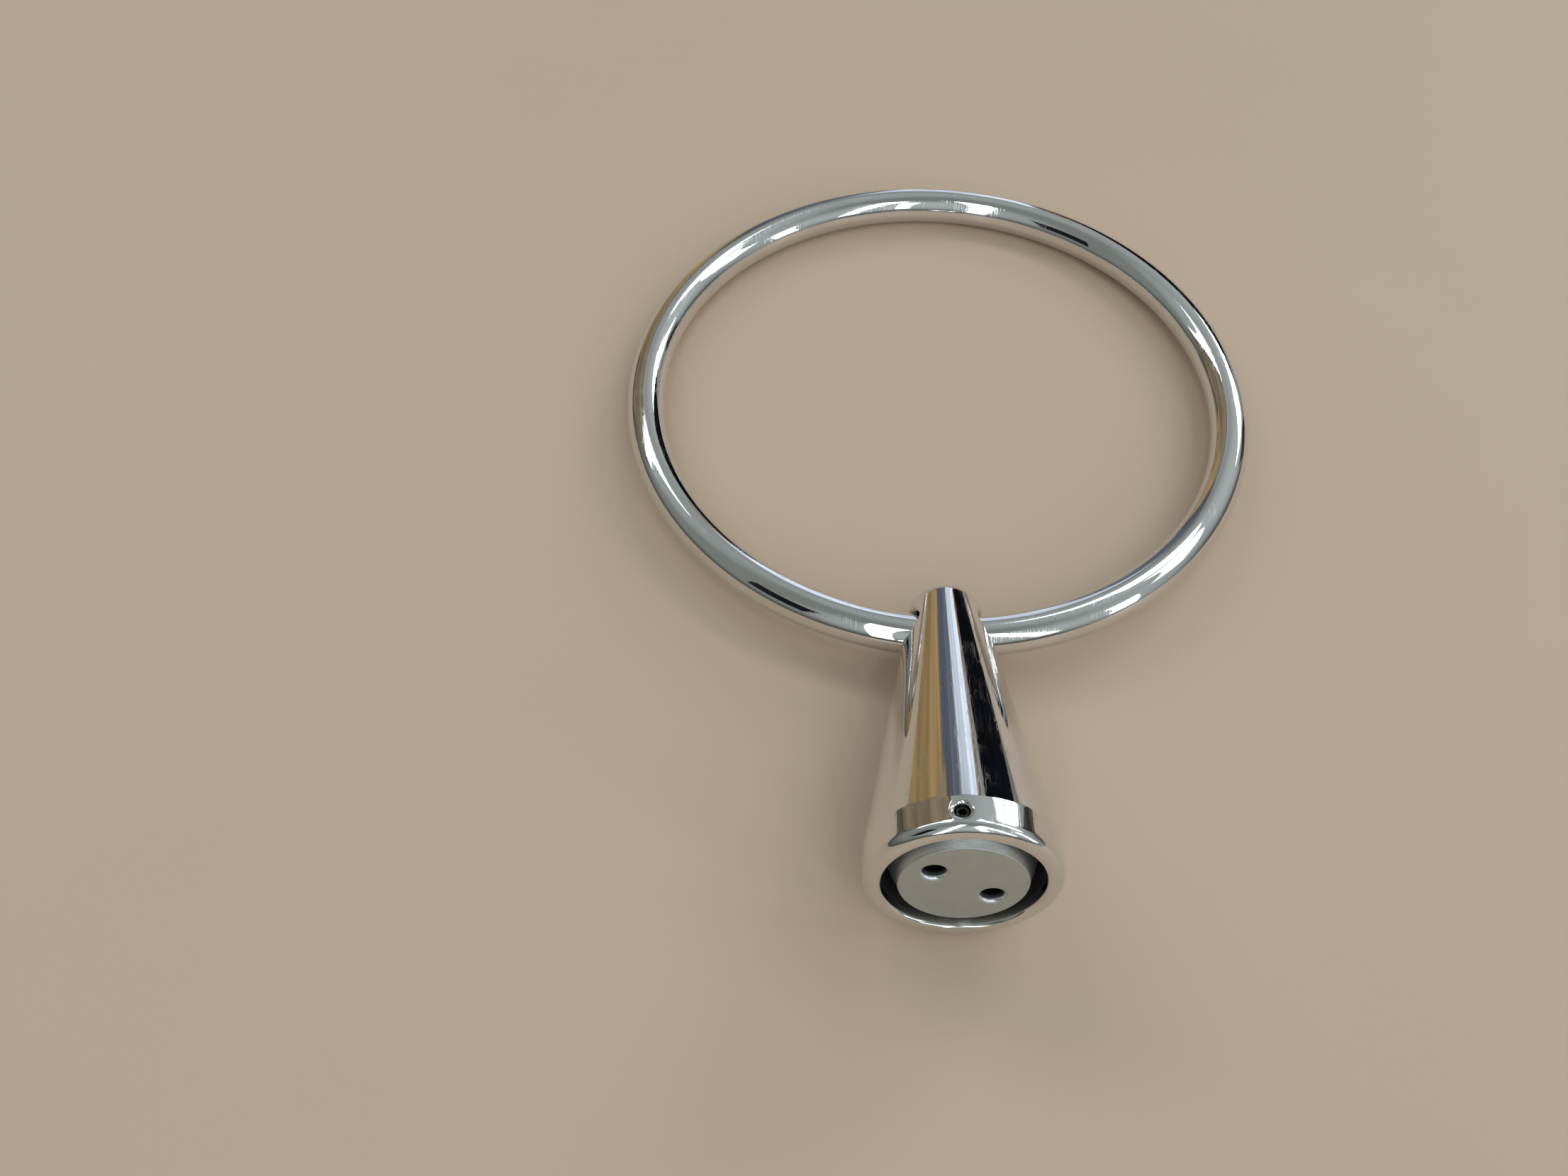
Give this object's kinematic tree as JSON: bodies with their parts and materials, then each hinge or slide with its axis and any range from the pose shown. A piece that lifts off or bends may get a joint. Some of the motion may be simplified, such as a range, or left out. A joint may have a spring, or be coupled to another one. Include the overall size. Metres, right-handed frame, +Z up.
{
  "type": "towel ring",
  "caption": "Tapered hollow wall post with a closed round ring swinging in a cross hole near its tip, and a dovetail disc held by a set screw.",
  "frame": {"origin": "under the middle of the whole part on the surface it lies on, the post lying on the side of its cone and the ring swung out in line with it", "axes": "+Z up, +Y from the post's wall end to the ring's far side, +X to the right as seen from the wall end"},
  "size_m": [0.1618, 0.2248, 0.0406],
  "materials": {
    "post_chrome": "bright polished chrome plate on die-cast zinc",
    "ring_chrome": "bright polished chrome plate on steel tube",
    "disc_metal": "satin, fine-grained, with a bright turned flank",
    "screw_steel": "dark oxide",
    "dowel_steel": "plain turned steel"
  },
  "bodies": {
    "post": {"post": "post_chrome"},
    "ring": {"ring": "ring_chrome", "ring_dowel": "dowel_steel"},
    "disc": {"mounting_disc": "disc_metal"},
    "screw": {"set_screw": "screw_steel"}
  },
  "joints": [
    {"name": "ring_swing", "type": "hinge", "parent": "post", "child": "ring", "pos_m": [0, -0.0447, 0.00955], "axis": [1, 0, 0], "range_deg": [-121, 104]},
    {"name": "disc_release", "type": "slide", "parent": "post", "child": "disc", "axis": [0, -0.9842, 0.1771], "range_m": [0, 0.012]},
    {"name": "set_screw_travel", "type": "slide", "parent": "post", "child": "screw", "axis": [-0.1045, 0.1761, 0.9788], "range_m": [0, 0.0048]}
  ],
  "couplings": [
    {"joint": "set_screw_travel", "follows": "disc_release", "ratio": 0.4}
  ]
}
